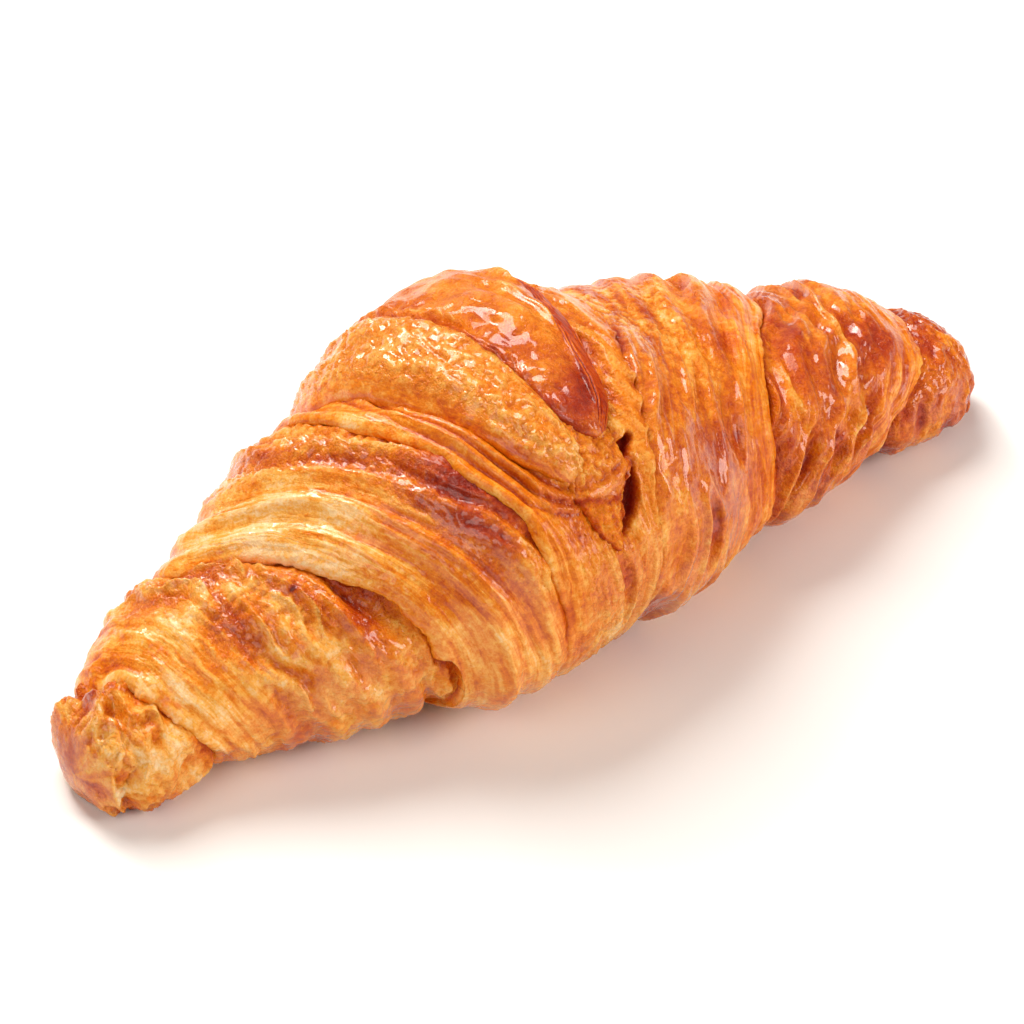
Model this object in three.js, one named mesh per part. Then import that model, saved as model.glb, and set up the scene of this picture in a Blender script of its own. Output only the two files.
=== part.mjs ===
// A baked butter croissant, lying as it was set down on a table.
// Millimetres, +Z up. +X runs along the roll, from the blunt tip to the slim one.
// The side with the point of the last turn faces -Y. The origin is on the table,
// at the middle of the roll's footprint.

import * as THREE from "three";

// Driving dimensions of the roll. Stations are even steps from tip to tip. The
// raked slim tip makes the whole about 2 mm shorter than the length given here.
const LENGTH = 180;
const HALF_WIDTHS = [
  9.8, 13.6, 17.2, 20.9, 25.8, 29.6, 33, 32.9, 32.3, 28.2, 25.9, 23.2, 19.7, 16.8, 12.7, 6.4,
];
const SIDEWAYS_BEND = [
  -1.2, 0.2, 1.9, 0.7, -0.8, -3.9, -2.6, -1.3, -0.6, -1.1, 0, 0.1, -0.8, -1.9, -3.8, -5,
];
const HEIGHT_TO_WIDTH = 0.8;
const AXIS_HEIGHT = 0.93;
const SECTION_POWER = 2.2;
const BLUNT_TIP = { length: 4, lowered: 0.9, rake: 0 };
const SLIM_TIP = { length: 7, lowered: 0.5, rake: 5 };

// The dough's free edges. Each one rings the roll, and its row gives its place
// along the roll every 30 degrees: 0 is the front, 90 the top, 180 the back.
const EDGE_STEP = 30;
const EDGES = {
  bluntTip: [-72.8, -75.8, -77.8, -79, -81.2, -82.5, -81, -77, -73, -70.5, -69.5, -70.3],
  bluntTurn: [-39.3, -43.4, -49.2, -54.5, -61.5, -63.5, -61, -55, -48, -41.5, -37, -36.8],
  tongueStart: [-15, -14.5, -21.6, -25.4, -29.5, -32.5, -32, -29, -25, -21, -18, -15.5],
  ridgeStart: [-12, -10.5, -11.6, -12.2, -15.5, -18, -17.5, -16, -13, -11, -10, -11],
  tongueEnd: [-9, -7, -2, 4, 8.8, 10.5, 9.5, 6, 1, -4, -7, -8.5],
  slimTurn: [30.4, 31.6, 38.2, 46.6, 51.5, 53, 51.5, 47, 40, 34, 29.5, 28.2],
  slimTip: [61.5, 69.3, 72.8, 75, 77.3, 77.5, 75.5, 71, 65, 60, 57, 57.8],
};

// The step at a ringing edge: how far the covered turn dips under it and how far
// back that reaches, and how far the edge itself slopes down over its cut face.
const COVERED_DIP = 3.1;
const COVERED_REACH = 3.4;
const CUT_FACE_FALL = 0.9;
const CUT_FACE_REACH = 6;
const EDGE_STRENGTH = { bluntTip: 0.62, bluntTurn: 1, slimTurn: 1.05, slimTip: 0.7 };

// The last turn lies over the top as a tongue, and ends on the front in three
// layers, each with a rounded end at its own angle: the cone that makes the point,
// the pale strip on it, and the glazed ridge. All of them fade out under the back.
const CONE = { end: 14, rounding: 12, height: 1.5 };
const STRIP = { end: 34, rounding: 10, height: 0.5, crown: 1.2 };
const RIDGE = { end: 43, rounding: 11, height: 1.3, crown: 1.4 };
const CROWN_FULLNESS = 0.6;
const TONGUE_ROOT = 215;
const TONGUE_FADE = 45;
const TONGUE_SEAT = 1.7;
const TONGUE_BORDER_DIP = 1.7;
const TONGUE_BORDER_REACH = 4;

// Each turn swells between its edges, and the baked skin is folded and lumpy.
// The folds run round the roll, and lie between two distances from its middle.
const SWELL = 1.5;
const SWELL_FULLNESS = 0.7;
const FOLD_DEPTH = 0.55;
const FOLD_PITCH = 6.5;
const FOLD_SWAY = 1.6;
const FOLD_SWAYS_ROUND = 3;
const FOLD_SWAY_LENGTH = 57;
const FOLD_BAND = { from: 12, full: 30, fading: 52, gone: 72 };
const LUMP_SIZE = 13;
const LUMP_HEIGHT = 0.75;

// Places where the crust stands out or is sunk: a torn flake and the hollow above
// it on the blunt tip, the belly under the wide turn and the hollow beside it.
const SWELLINGS = [
  { along: -84.5, angle: 92, length: 2.2, spread: 16, height: 1.6 },
  { along: -82, angle: 112, length: 2.6, spread: 11, height: -1.8 },
  { along: -31, angle: -32, length: 9, spread: 26, height: 1.5 },
  { along: -8, angle: -26, length: 9, spread: 24, height: -1.2 },
];

// How finely the crust is divided: points round the roll, and rows from one edge
// of the dough to the next. The rows stop short of each edge on both sides.
const POINTS_ROUND = 56;
const ROWS_BETWEEN_EDGES = [8, 13, 16, 9, 9, 20, 15, 9];
const EDGE_GAP = 0.35;
const TIP_GAP = 0.4;
const ROW_CROWDING = 0.09;

const degrees = THREE.MathUtils.degToRad;
const smooth = THREE.MathUtils.smoothstep;
const mix = THREE.MathUtils.lerp;

// A smooth curve through even samples, at a place counted in samples.
function curveThrough(samples, place, closed) {
  const count = samples.length;
  const first = closed ? Math.floor(place) : Math.min(Math.max(Math.floor(place), 0), count - 2);
  const t = place - first;
  const at = (i) => samples[closed ? ((i % count) + count) % count : Math.min(Math.max(i, 0), count - 1)];
  const [a, b, c, d] = [at(first - 1), at(first), at(first + 1), at(first + 2)];
  return b + 0.5 * t * (c - a + t * (2 * a - 5 * b + 4 * c - d + t * (3 * (b - c) + d - a)));
}

function alongRoll(samples, s) {
  return curveThrough(samples, ((s + LENGTH / 2) / LENGTH) * (samples.length - 1), false);
}

function edgePlace(name, angle) {
  return curveThrough(EDGES[name], angle / EDGE_STEP, true);
}

// A number between 0 and 1 for each corner of a unit lattice.
function latticeValue(i, j, k) {
  const wave = Math.sin(i * 127.1 + j * 311.7 + k * 74.7) * 43758.5453;
  return wave - Math.floor(wave);
}

// Smooth lumps between -1 and 1, of one lattice cell in size.
function lumps(point) {
  const cell = point.clone().floor();
  const [u, v, w] = point.clone().sub(cell).toArray().map((t) => smooth(t, 0, 1));
  const layer = (k) => {
    const row = (j) => mix(latticeValue(cell.x, cell.y + j, cell.z + k),
      latticeValue(cell.x + 1, cell.y + j, cell.z + k), u);
    return mix(row(0), row(1), v);
  };
  return 2 * mix(layer(0), layer(1), w) - 1;
}

// The step at one ringing edge. The distance is counted towards the middle.
function edgeStep(inward, strength) {
  if (inward < 0) return -COVERED_DIP * strength * Math.exp(inward / COVERED_REACH);
  return -CUT_FACE_FALL * strength * Math.exp(-inward / CUT_FACE_REACH);
}

// How much of one layer of the tongue is there at an angle: none below its end,
// all of it over the top, and none once it has gone round under the back.
function presence(layer, angle) {
  const past = THREE.MathUtils.euclideanModulo(angle - layer.end, 360);
  const root = TONGUE_ROOT - layer.end;
  return Math.sqrt(smooth(past, 0, layer.rounding)) * (1 - smooth(past, root, root + TONGUE_FADE));
}

// A rounded profile from 0 at both borders to 1 in the middle.
function crown(share) {
  return Math.sin(Math.PI * THREE.MathUtils.clamp(share, 0, 1)) ** CROWN_FULLNESS;
}

function tongueRelief(s, angle) {
  const start = edgePlace("tongueStart", angle);
  const middle = edgePlace("ridgeStart", angle);
  const end = edgePlace("tongueEnd", angle);
  const cone = presence(CONE, angle);
  const outside = Math.max(start - s, s - end);
  if (outside > 0) return -TONGUE_BORDER_DIP * cone * Math.exp(-outside / TONGUE_BORDER_REACH);
  const layer = s < middle ? STRIP : RIDGE;
  const share = s < middle ? (s - start) / (middle - start) : (s - middle) / (end - middle);
  const onCone = presence(layer, angle) * (layer.height + layer.crown * crown(share));
  return cone * (CONE.height - TONGUE_SEAT) + onCone;
}

// Each turn is fullest midway between its own edge and the edge that covers it.
function swell(s, angle) {
  const places = ["bluntTip", "bluntTurn", "slimTurn", "slimTip"].map((name) => edgePlace(name, angle));
  const bounds = [-LENGTH / 2, ...places, LENGTH / 2];
  const turn = bounds.findIndex((end, i) => i > 0 && s <= end);
  const share = (s - bounds[turn - 1]) / (bounds[turn] - bounds[turn - 1]);
  return turn > 0 ? SWELL * (Math.sin(Math.PI * share) ** SWELL_FULLNESS - 0.5) : 0;
}

function folds(s, angle) {
  const drift = edgePlace(s < 0 ? "bluntTurn" : "slimTurn", angle);
  const turns = (FOLD_SWAYS_ROUND * angle) / 360 + s / FOLD_SWAY_LENGTH;
  const sway = FOLD_SWAY * Math.sin(2 * Math.PI * turns);
  const out = Math.abs(s);
  const { from, full, fading, gone } = FOLD_BAND;
  const strength = smooth(out, from, full) - smooth(out, fading, gone);
  return FOLD_DEPTH * strength * Math.sin((2 * Math.PI * (s - drift + sway)) / FOLD_PITCH);
}

function swellings(s, angle) {
  return SWELLINGS.reduce((height, swelling) => {
    const apart = (s - swelling.along) / swelling.length;
    const turned = THREE.MathUtils.euclideanModulo(angle - swelling.angle + 180, 360) - 180;
    return height + swelling.height * Math.exp(-apart * apart - (turned / swelling.spread) ** 2);
  }, 0);
}

function relief(s, angle, place) {
  let height = tongueRelief(s, angle) + swell(s, angle) + folds(s, angle) + swellings(s, angle);
  for (const [name, strength] of Object.entries(EDGE_STRENGTH)) {
    const outward = name.startsWith("blunt") ? 1 : -1;
    height += edgeStep(outward * (s - edgePlace(name, angle)), strength);
  }
  return height + LUMP_HEIGHT * lumps(place.clone().divideScalar(LUMP_SIZE));
}

// How full the section is near a tip: 1 on the roll, falling round to 0 at its end.
function tipFullness(s) {
  const tip = s < 0 ? BLUNT_TIP : SLIM_TIP;
  const beyond = (Math.abs(s) - (LENGTH / 2 - tip.length)) / tip.length;
  return beyond > 0 ? Math.sqrt(Math.max(1 - beyond ** SECTION_POWER, 0)) : 1;
}

// A point of the crust, at a place along the roll and an angle round it.
function crustPoint(s, angle) {
  const tip = s < 0 ? BLUNT_TIP : SLIM_TIP;
  const [cos, sin] = [Math.cos(degrees(angle)), Math.sin(degrees(angle))];
  const full = tipFullness(s);
  const reach = (Math.abs(cos) ** SECTION_POWER + Math.abs(sin) ** SECTION_POWER) ** (-1 / SECTION_POWER);
  const halfWidth = alongRoll(HALF_WIDTHS, s);
  const halfHeight = HEIGHT_TO_WIDTH * halfWidth;
  const lowered = tip.lowered * Math.max((Math.abs(s) - LENGTH / 4) / (LENGTH / 4), 0);
  const rakeShare = smooth(Math.abs(s), LENGTH / 2 - 2 * tip.length, LENGTH / 2);
  const raked = tip.rake * rakeShare * 0.5 * (1 - sin * full);
  const centre = new THREE.Vector3(s - Math.sign(s) * raked, alongRoll(SIDEWAYS_BEND, s),
    AXIS_HEIGHT * halfHeight - lowered);
  const across = new THREE.Vector3(0, -halfWidth * cos, halfHeight * sin);
  across.multiplyScalar(full * reach);
  const bare = centre.clone().add(across);
  const swollen = 1 + (relief(s, angle, bare) * full) / Math.max(across.length(), 1);
  const point = centre.add(across.multiplyScalar(swollen));
  point.z = Math.max(point.z, 0);
  return point;
}

// The rows' places along the roll at one angle, crowded a little towards the edges.
function rowPlaces(angle) {
  const edges = Object.keys(EDGES).map((name) => edgePlace(name, angle));
  const bounds = [-LENGTH / 2, ...edges, LENGTH / 2];
  const places = [];
  ROWS_BETWEEN_EDGES.forEach((rows, segment) => {
    const start = bounds[segment] + (segment > 0 ? EDGE_GAP : TIP_GAP);
    const end = bounds[segment + 1] - (segment < edges.length ? EDGE_GAP : TIP_GAP);
    for (let i = 0; i < rows; i++) {
      const t = i / (rows - 1);
      places.push(mix(start, end, t - ROW_CROWDING * Math.sin(2 * Math.PI * t)));
    }
  });
  return places;
}

// The crust as one closed skin: rings of points from tip to tip, and a cap on each end.
function crustGeometry() {
  const rows = ROWS_BETWEEN_EDGES.reduce((sum, count) => sum + count, 0);
  const rings = Array.from({ length: rows }, () => []);
  for (let j = 0; j < POINTS_ROUND; j++) {
    const angle = (360 * j) / POINTS_ROUND;
    rowPlaces(angle).forEach((s, i) => rings[i].push(crustPoint(s, angle)));
  }
  const points = rings.flat();
  const index = (i, j) => i * POINTS_ROUND + (j % POINTS_ROUND);
  const faces = [];
  for (let i = 0; i + 1 < rows; i++) {
    for (let j = 0; j < POINTS_ROUND; j++) {
      const [a, b, c, d] = [index(i, j), index(i + 1, j), index(i + 1, j + 1), index(i, j + 1)];
      faces.push(a, b, c, a, c, d);
    }
  }
  for (const i of [0, rows - 1]) {
    const middle = new THREE.Vector3();
    rings[i].forEach((point) => middle.addScaledVector(point, 1 / POINTS_ROUND));
    const hub = points.push(middle) - 1;
    for (let j = 0; j < POINTS_ROUND; j++) {
      const pair = i === 0 ? [index(i, j + 1), index(i, j)] : [index(i, j), index(i, j + 1)];
      faces.push(hub, pair[1], pair[0]);
    }
  }
  const geometry = new THREE.BufferGeometry().setFromPoints(points);
  geometry.setIndex(faces);
  return geometry;
}

// Sets the roll on its origin: middle of the footprint, on the table.
function centred(geometry) {
  geometry.computeBoundingBox();
  const box = geometry.boundingBox;
  geometry.translate(-(box.min.x + box.max.x) / 2, -(box.min.y + box.max.y) / 2, -box.min.z);
  geometry.computeVertexNormals();
  return geometry;
}

function bakedCrust() {
  return new THREE.MeshStandardMaterial({ color: 0xdd9142, roughness: 0.42, metalness: 0 });
}

function croissant() {
  const mesh = new THREE.Mesh(centred(crustGeometry()), bakedCrust());
  mesh.name = "croissant";
  return mesh;
}

const part = new THREE.Group();
part.add(croissant());

export default part;
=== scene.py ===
# %% [markdown]
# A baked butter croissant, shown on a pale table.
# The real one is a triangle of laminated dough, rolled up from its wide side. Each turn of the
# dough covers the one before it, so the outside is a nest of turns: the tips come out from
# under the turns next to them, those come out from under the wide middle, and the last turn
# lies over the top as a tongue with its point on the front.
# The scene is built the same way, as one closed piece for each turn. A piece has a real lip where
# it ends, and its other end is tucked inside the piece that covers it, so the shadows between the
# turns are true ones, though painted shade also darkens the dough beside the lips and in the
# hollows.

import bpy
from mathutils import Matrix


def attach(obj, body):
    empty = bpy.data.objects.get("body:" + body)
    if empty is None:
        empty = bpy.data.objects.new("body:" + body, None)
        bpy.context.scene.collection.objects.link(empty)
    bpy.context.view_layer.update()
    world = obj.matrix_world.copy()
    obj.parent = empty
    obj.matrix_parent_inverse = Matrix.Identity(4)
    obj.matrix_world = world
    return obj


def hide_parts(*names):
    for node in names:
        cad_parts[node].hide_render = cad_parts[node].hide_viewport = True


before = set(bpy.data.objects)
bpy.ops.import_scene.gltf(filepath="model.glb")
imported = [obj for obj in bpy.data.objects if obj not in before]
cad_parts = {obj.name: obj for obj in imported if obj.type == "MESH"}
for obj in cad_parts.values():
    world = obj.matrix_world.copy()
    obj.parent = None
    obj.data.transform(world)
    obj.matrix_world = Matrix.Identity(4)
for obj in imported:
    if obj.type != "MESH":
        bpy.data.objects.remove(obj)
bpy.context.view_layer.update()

import bpy
import numpy as np
from mathutils import Vector

MILLIMETRE = 0.001


def smooth(value, start, end):
    """0 below start, 1 above end, and a soft rise between them."""
    share = np.clip((value - start) / (end - start), 0, 1)
    return share * share * (3 - 2 * share)


def mix(low, high, share):
    return low + (high - low) * share


# %% [markdown]
# The roll's form.
# The whole roll is known by two numbers: how far a point is along it, in millimetres from its
# middle, and its angle round it, with 0 at the front, 90 on top and 180 at the back. One
# function turns these into a point of the crust. It could be sculpted by hand instead, but
# then the turns would not nest, and the solid and the scene would not agree.

# %% The roll's sizes, in millimetres and degrees
LENGTH = 180
HALF_WIDTHS = [
    9.8, 13.6, 17.2, 20.9, 25.8, 29.6, 33, 32.9, 32.3, 28.2, 25.9, 23.2, 19.7, 16.8, 12.7, 6.4,
]
SIDEWAYS_BEND = [
    -1.2, 0.2, 1.9, 0.7, -0.8, -3.9, -2.6, -1.3, -0.6, -1.1, 0, 0.1, -0.8, -1.9, -3.8, -5,
]
HEIGHT_TO_WIDTH = 0.8
AXIS_HEIGHT = 0.93
SECTION_POWER = 2.2
BLUNT_TIP = {"length": 4, "lowered": 0.9, "rake": 0}
SLIM_TIP = {"length": 7, "lowered": 0.5, "rake": 5}
AXIS_OFFSET = (0.812, 0.808)
# The fine relief makes the tips a little longer, and this brings them back into the solid's box.
LENGTH_FIT = 0.9955

# %% The dough's free edges, at every 30 degrees round the roll
EDGE_STEP = 30
EDGES = {
    "blunt_tip": [-72.8, -75.8, -77.8, -79, -81.2, -82.5, -81, -77, -73, -70.5, -69.5, -70.3],
    "blunt_turn": [-39.3, -43.4, -49.2, -54.5, -61.5, -63.5, -61, -55, -48, -41.5, -37, -36.8],
    "wrap_start": [-22, -23.2, -27, -31, -35, -36, -35, -32, -27.5, -23.5, -20.5, -20],
    "tongue_start": [-15, -14.5, -21.6, -25.4, -29.5, -32.5, -32, -29, -25, -21, -18, -15.5],
    "ridge_start": [-12, -10.5, -11.6, -12.2, -15.5, -18, -17.5, -16, -13, -11, -10, -11],
    "tongue_end": [-8, -5, -0.4, 4.6, 8.8, 10.5, 9.5, 6, 1, -4, -7, -8.2],
    "wrap_end": [-2.2, -0.4, 5.2, 12.2, 15, 15.5, 13.5, 9.5, 4, -1.5, -4, -3.2],
    "slim_turn": [30.4, 31.6, 38.2, 46.6, 51.5, 53, 51.5, 47, 40, 34, 29.5, 28.2],
    "slim_tip": [61.5, 69.3, 72.8, 75, 77.3, 77.5, 75.5, 71, 65, 60, 57, 57.8],
}


def curve_through(samples, place, closed):
    """A smooth curve through even samples, read at places counted in samples."""
    samples = np.asarray(samples, float)
    count = len(samples)
    place = np.asarray(place, float)
    first = np.floor(place).astype(int)
    if not closed:
        first = np.clip(first, 0, count - 2)

    def at(index):
        return samples[index % count if closed else np.clip(index, 0, count - 1)]

    t = place - first
    a, b, c, d = at(first - 1), at(first), at(first + 1), at(first + 2)
    return b + 0.5 * t * (c - a + t * (2 * a - 5 * b + 4 * c - d + t * (3 * (b - c) + d - a)))


def along_roll(samples, along):
    return curve_through(samples, (along + LENGTH / 2) / LENGTH * (len(samples) - 1), False)


# %% [markdown]
# Chance.
# Baked dough is never even, so most of its relief comes from smooth noise: a lattice of
# random numbers with a soft blend between them. Stretched noise makes strands and wrinkles
# that run round the roll. The random numbers come from a formula, so every run gives the
# same croissant.

# %% Noise
ROUND_RADIUS = 26
WANDER, WANDER_LENGTH = 0.55, 5.5
FRAY, FRAY_LENGTH = 0.22, 1.3


def lattice_value(i, j, k):
    wave = np.sin(i * 127.1 + j * 311.7 + k * 74.7) * 43758.5453
    return wave - np.floor(wave)


def noise(x, y, z):
    """Smooth noise between -1 and 1, with lumps of size 1."""
    x, y, z = np.broadcast_arrays(x, y, z)
    i, j, k = np.floor(x), np.floor(y), np.floor(z)
    u, v, w = (smooth(t, 0, 1) for t in (x - i, y - j, z - k))

    def row(dy, dz):
        return mix(lattice_value(i, j + dy, k + dz), lattice_value(i + 1, j + dy, k + dz), u)

    return 2 * mix(mix(row(0, 0), row(1, 0), v), mix(row(0, 1), row(1, 1), v), w) - 1


def stretched(across, angle, width, length, seed):
    """Noise in strands that run round the roll, of one width and length in millimetres."""
    turn = np.radians(angle)
    return noise(
        across / width + 37.3 * seed,
        ROUND_RADIUS * np.cos(turn) / length + 11.1 * seed,
        ROUND_RADIUS * np.sin(turn) / length,
    )


def ragged(angle, seed):
    """How far a torn edge wanders, in millimetres."""
    slow = stretched(0 * angle, angle, 1, WANDER_LENGTH, seed)
    return WANDER * slow + FRAY * stretched(0 * angle, angle, 1, FRAY_LENGTH, seed + 1)


def edge_line(name, angle):
    """An edge of the dough as it was cut, without its torn bits."""
    return curve_through(EDGES[name], angle / EDGE_STEP, True)


def edge_place(name, angle):
    return edge_line(name, angle) + ragged(angle, 3 + 2 * list(EDGES).index(name))


# %% [markdown]
# The relief of the roll.
# These are the larger forms that the solid has too. A turn swells between its edges, dips
# where it goes under the next one, and slopes off over its own cut face. The skin between is
# folded by the oven, and lumpy.

# %% Large relief
COVERED_DIP, COVERED_REACH, COVERED_SLOPE = 2.5, 3.4, 0.3
CUT_FACE_FALL, CUT_FACE_REACH = 0.9, 6
EDGE_STRENGTH = {"blunt_tip": 0.62, "blunt_turn": 1, "slim_turn": 1.05, "slim_tip": 0.7}
SWELL, SWELL_FULLNESS = 1.5, 0.7
LUMP_SIZE, LUMP_HEIGHT = 13, 0.75
FINE_RELIEF_ROOM = 0.7
FOLD_DEPTH, FOLD_PITCH, FOLD_SWAY = 0.55, 6.5, 1.6
FOLD_SWAYS_ROUND, FOLD_SWAY_LENGTH = 3, 57


def covered_dip(inward, strength):
    """The surface of a covered turn: it dips towards the edge above it, and goes on under it."""
    outside = np.exp(np.minimum(inward, 0) / COVERED_REACH)
    return -COVERED_DIP * strength * outside - COVERED_SLOPE * np.maximum(inward, 0)


def cut_face_fall(inward, strength):
    return -CUT_FACE_FALL * strength * np.exp(-np.maximum(inward, 0) / CUT_FACE_REACH)


def swell(along, start, end):
    share = np.clip((along - start) / (end - start), 0, 1)
    return SWELL * (np.sin(np.pi * share) ** SWELL_FULLNESS - 0.5)


def folds(along, angle):
    drift = np.where(along < 0, edge_line("blunt_turn", angle), edge_line("slim_turn", angle))
    turns = FOLD_SWAYS_ROUND * angle / 360 + along / FOLD_SWAY_LENGTH
    sway = FOLD_SWAY * np.sin(2 * np.pi * turns)
    out = np.abs(along)
    strength = smooth(out, 12, 30) - smooth(out, 52, 72)
    return FOLD_DEPTH * strength * np.sin(2 * np.pi * (along - drift + sway) / FOLD_PITCH)


# %% A point of the crust
def crust_point(along, angle, height, core=1):
    """A point in millimetres, from its place on the roll, its height over the plain form, and
    a core that is 1 on the crust and 0 on the roll's own axis."""
    blunt = along < 0

    def of_tip(key):
        return np.where(blunt, BLUNT_TIP[key], SLIM_TIP[key])

    out, half = np.abs(along), LENGTH / 2
    cos, sin = np.cos(np.radians(angle)), np.sin(np.radians(angle))
    beyond = np.clip((out - half + of_tip("length")) / of_tip("length"), 0, 1)
    full = np.sqrt(1 - beyond**SECTION_POWER)
    reach = (np.abs(cos) ** SECTION_POWER + np.abs(sin) ** SECTION_POWER) ** (-1 / SECTION_POWER)
    half_width = along_roll(HALF_WIDTHS, along)
    half_height = HEIGHT_TO_WIDTH * half_width
    lowered = of_tip("lowered") * np.maximum((out - half / 2) / (half / 2), 0)
    raked = of_tip("rake") * smooth(out, half - 2 * of_tip("length"), half) * 0.5 * (1 - sin * full)
    across_y = -half_width * cos * full * reach
    across_z = half_height * sin * full * reach
    length = np.maximum(np.hypot(across_y, across_z), 1)
    grown = (1 + height * full / length) * core
    x = (along - np.sign(along) * raked) * LENGTH_FIT
    y = along_roll(SIDEWAYS_BEND, along) + across_y * grown
    z = AXIS_HEIGHT * half_height - lowered + across_z * grown
    return np.stack([x, y, z], -1)


# %% [markdown]
# From a flat sheet to a turn of dough.
# Every piece starts as the baker's does, as a flat sheet: a grid from the mesh menu. The rows
# of the grid follow the piece's own profile, from its hidden end over the outside to its lip
# and back under it, and the columns go round the roll. The sheet is rolled up by the crust's
# formula, and its seam and its two ends are then closed by merging what meets there.

# %% Rolling a sheet up
def rolled_up(name, points, finish):
    """A closed piece from points and finish values that are given row by row."""
    rows, columns = points.shape[0] - 1, points.shape[1] - 1
    bpy.ops.object.select_all(action="DESELECT")
    bpy.ops.mesh.primitive_grid_add(x_subdivisions=columns, y_subdivisions=rows, size=1)
    piece = bpy.context.object
    piece.name = piece.data.name = name
    flat = np.empty(3 * len(piece.data.vertices))
    piece.data.vertices.foreach_get("co", flat)
    flat = flat.reshape(-1, 3) + 0.5
    column = np.rint(flat[:, 0] * columns).astype(int)
    row = np.rint(flat[:, 1] * rows).astype(int)
    piece.data.vertices.foreach_set("co", points[row, column].ravel())
    for key, values in finish.items():
        attribute = piece.data.attributes.new(key, "FLOAT", "POINT")
        attribute.data.foreach_set("value", values[row, column].astype(np.float32))
    bpy.ops.object.mode_set(mode="EDIT")
    bpy.ops.mesh.select_all(action="SELECT")
    bpy.ops.mesh.remove_doubles(threshold=1e-6)
    bpy.ops.mesh.normals_make_consistent(inside=False)
    bpy.ops.object.mode_set(mode="OBJECT")
    bpy.ops.object.shade_smooth()
    print(name, len(piece.data.polygons), "faces")
    return piece


# %% [markdown]
# Fine relief.
# Two kinds of surface cover the whole croissant. Near its lip a turn shows its cut edge, where the
# layers of the dough have opened into long thin strands with slits between them, which are darkened
# with painted shade.
# Further in it has a glazed skin, which the oven has drawn into wrinkles and small blisters.
# Both are modelled, because at this size their shadows and glints are what the eye reads.

# %% Strands of a cut edge, in millimetres
STEP_SPACING, STEP_HEIGHT = 2.7, 0.6
LINE_WIDTH, LINE_LENGTH, LINE_HEIGHT = 1.8, 12, 0.35
THREAD_WIDTH, THREAD_LENGTH, THREAD_HEIGHT = 0.85, 8, 0.2
BAND_WIDTH, BAND_LENGTH, BAND_HEIGHT = 1.7, 15, 0.35


def terraces(inward, angle, seed):
    """Steps where one layer ends over the next: a sharp rise, then a slow fall. The second
    result is 1 in the slit at the foot of a step."""
    warp = 0.9 * stretched(inward, angle, 7, 22, seed)
    warp = warp + 0.3 * stretched(inward, angle, 2, 12, seed + 1)
    place = inward / STEP_SPACING + warp
    share = place - np.floor(place)
    rise = smooth(share, 0, 0.35) - share
    slit = np.exp(-((share / 0.2) ** 2)) + np.exp(-(((1 - share) / 0.12) ** 2))
    faded = smooth(stretched(inward, angle, 3, 12, seed + 2), -0.4, 0.5)
    return rise * faded, slit * faded


def strands(inward, angle, seed):
    """The opened layers of a cut edge: height in mm, where the slits are, which get painted shade,
    and painted light and shade that make the raised strands paler and the low ones darker.
    """
    steps, slit = terraces(inward, angle, seed)
    swayed = inward + 0.9 * stretched(inward, angle, 4, 7, seed + 4)
    lines = np.exp(-((stretched(swayed, angle, LINE_WIDTH, LINE_LENGTH, seed + 5) / 0.5) ** 2))
    threads = stretched(swayed, angle, THREAD_WIDTH, THREAD_LENGTH, seed + 9)
    bands = stretched(swayed, angle, BAND_WIDTH, BAND_LENGTH, seed + 11)
    height = STEP_HEIGHT * steps + LINE_HEIGHT * lines + THREAD_HEIGHT * threads
    height = height + BAND_HEIGHT * bands
    # shade is painted light and shade: it is low on the raised strands, which are painted paler,
    # and high between them, which are painted darker.
    shade = -0.9 * (lines - 0.5) - 0.6 * bands - 0.6 * threads
    return height, np.clip(slit, 0, 1), shade


# %% Wrinkles, flakes and blisters of the skin, in millimetres
CREST_HEIGHT, SMALL_CREST_HEIGHT, VALLEY_DEPTH = 1.5, 0.35, 0.8
FLAKE_WIDTH, FLAKE_LENGTH, FLAKE_THICKNESS = 3.2, 11, 0.22
NICK_WIDTH, NICK_LENGTH = 1.1, 3.5
PIMPLE_SIZE, PIMPLE_SHARE = 0.95, 0.34


def wrinkles(inward, angle, width, length, seed):
    """Folds of the skin that run round the roll: thin sharp crests over wide flat valleys."""
    warp = 1.7 * stretched(inward, angle, 5, 8, seed)
    wide = stretched(inward + warp, angle, width, length, seed + 1)
    small = stretched(inward + 0.6 * warp, angle, width / 1.8, length / 2.6, seed + 3)
    folded = CREST_HEIGHT * np.exp(-((wide / 0.34) ** 2))
    folded = folded + SMALL_CREST_HEIGHT * np.exp(-((small / 0.4) ** 2)) - VALLEY_DEPTH
    return folded * (0.3 + 0.9 * smooth(stretched(inward, angle, 7, 14, seed + 2), -0.6, 0.4))


def flakes(inward, angle, seed):
    """Where a thin last skin still lies on the crust: 1 on it and 0 where it has come off."""
    at = stretched(inward, angle, FLAKE_WIDTH, FLAKE_LENGTH, seed)
    at = at + 0.5 * stretched(inward, angle, NICK_WIDTH, NICK_LENGTH, seed + 1)
    return smooth(at, -0.42, -0.08)


def patches(points, size, seed):
    """Soft patches between -1 and 1, of one size or of a size along each axis."""
    return noise(*np.moveaxis(points / size + seed, -1, 0))


def blisters(points, size, seed):
    """Rounded blisters with sharp creases between them, 0 in a crease and 1 on a high one."""
    at = points / size + 5.3 * seed
    sway = 0.6 * noise(*np.moveaxis(at * 0.7 + 3.1, -1, 0))
    value = noise(at[..., 0] + sway, at[..., 1] - sway, at[..., 2] + sway)
    return np.clip(1.7 * np.abs(value), 0, 1)


# %% Places on the roll
MM_PER_DEGREE = 0.5


def spots(along, angle, places):
    """The sum of soft round places, each (along, angle, length, spread, amount, lean)."""
    total = np.zeros_like(along)
    for place, turn, length, spread, amount, lean in places:
        turned = (angle - turn + 180) % 360 - 180
        apart = (along - place - lean * turned) / length
        total += amount * np.exp(-(apart**2) - (turned / spread) ** 2)
    return total


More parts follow.
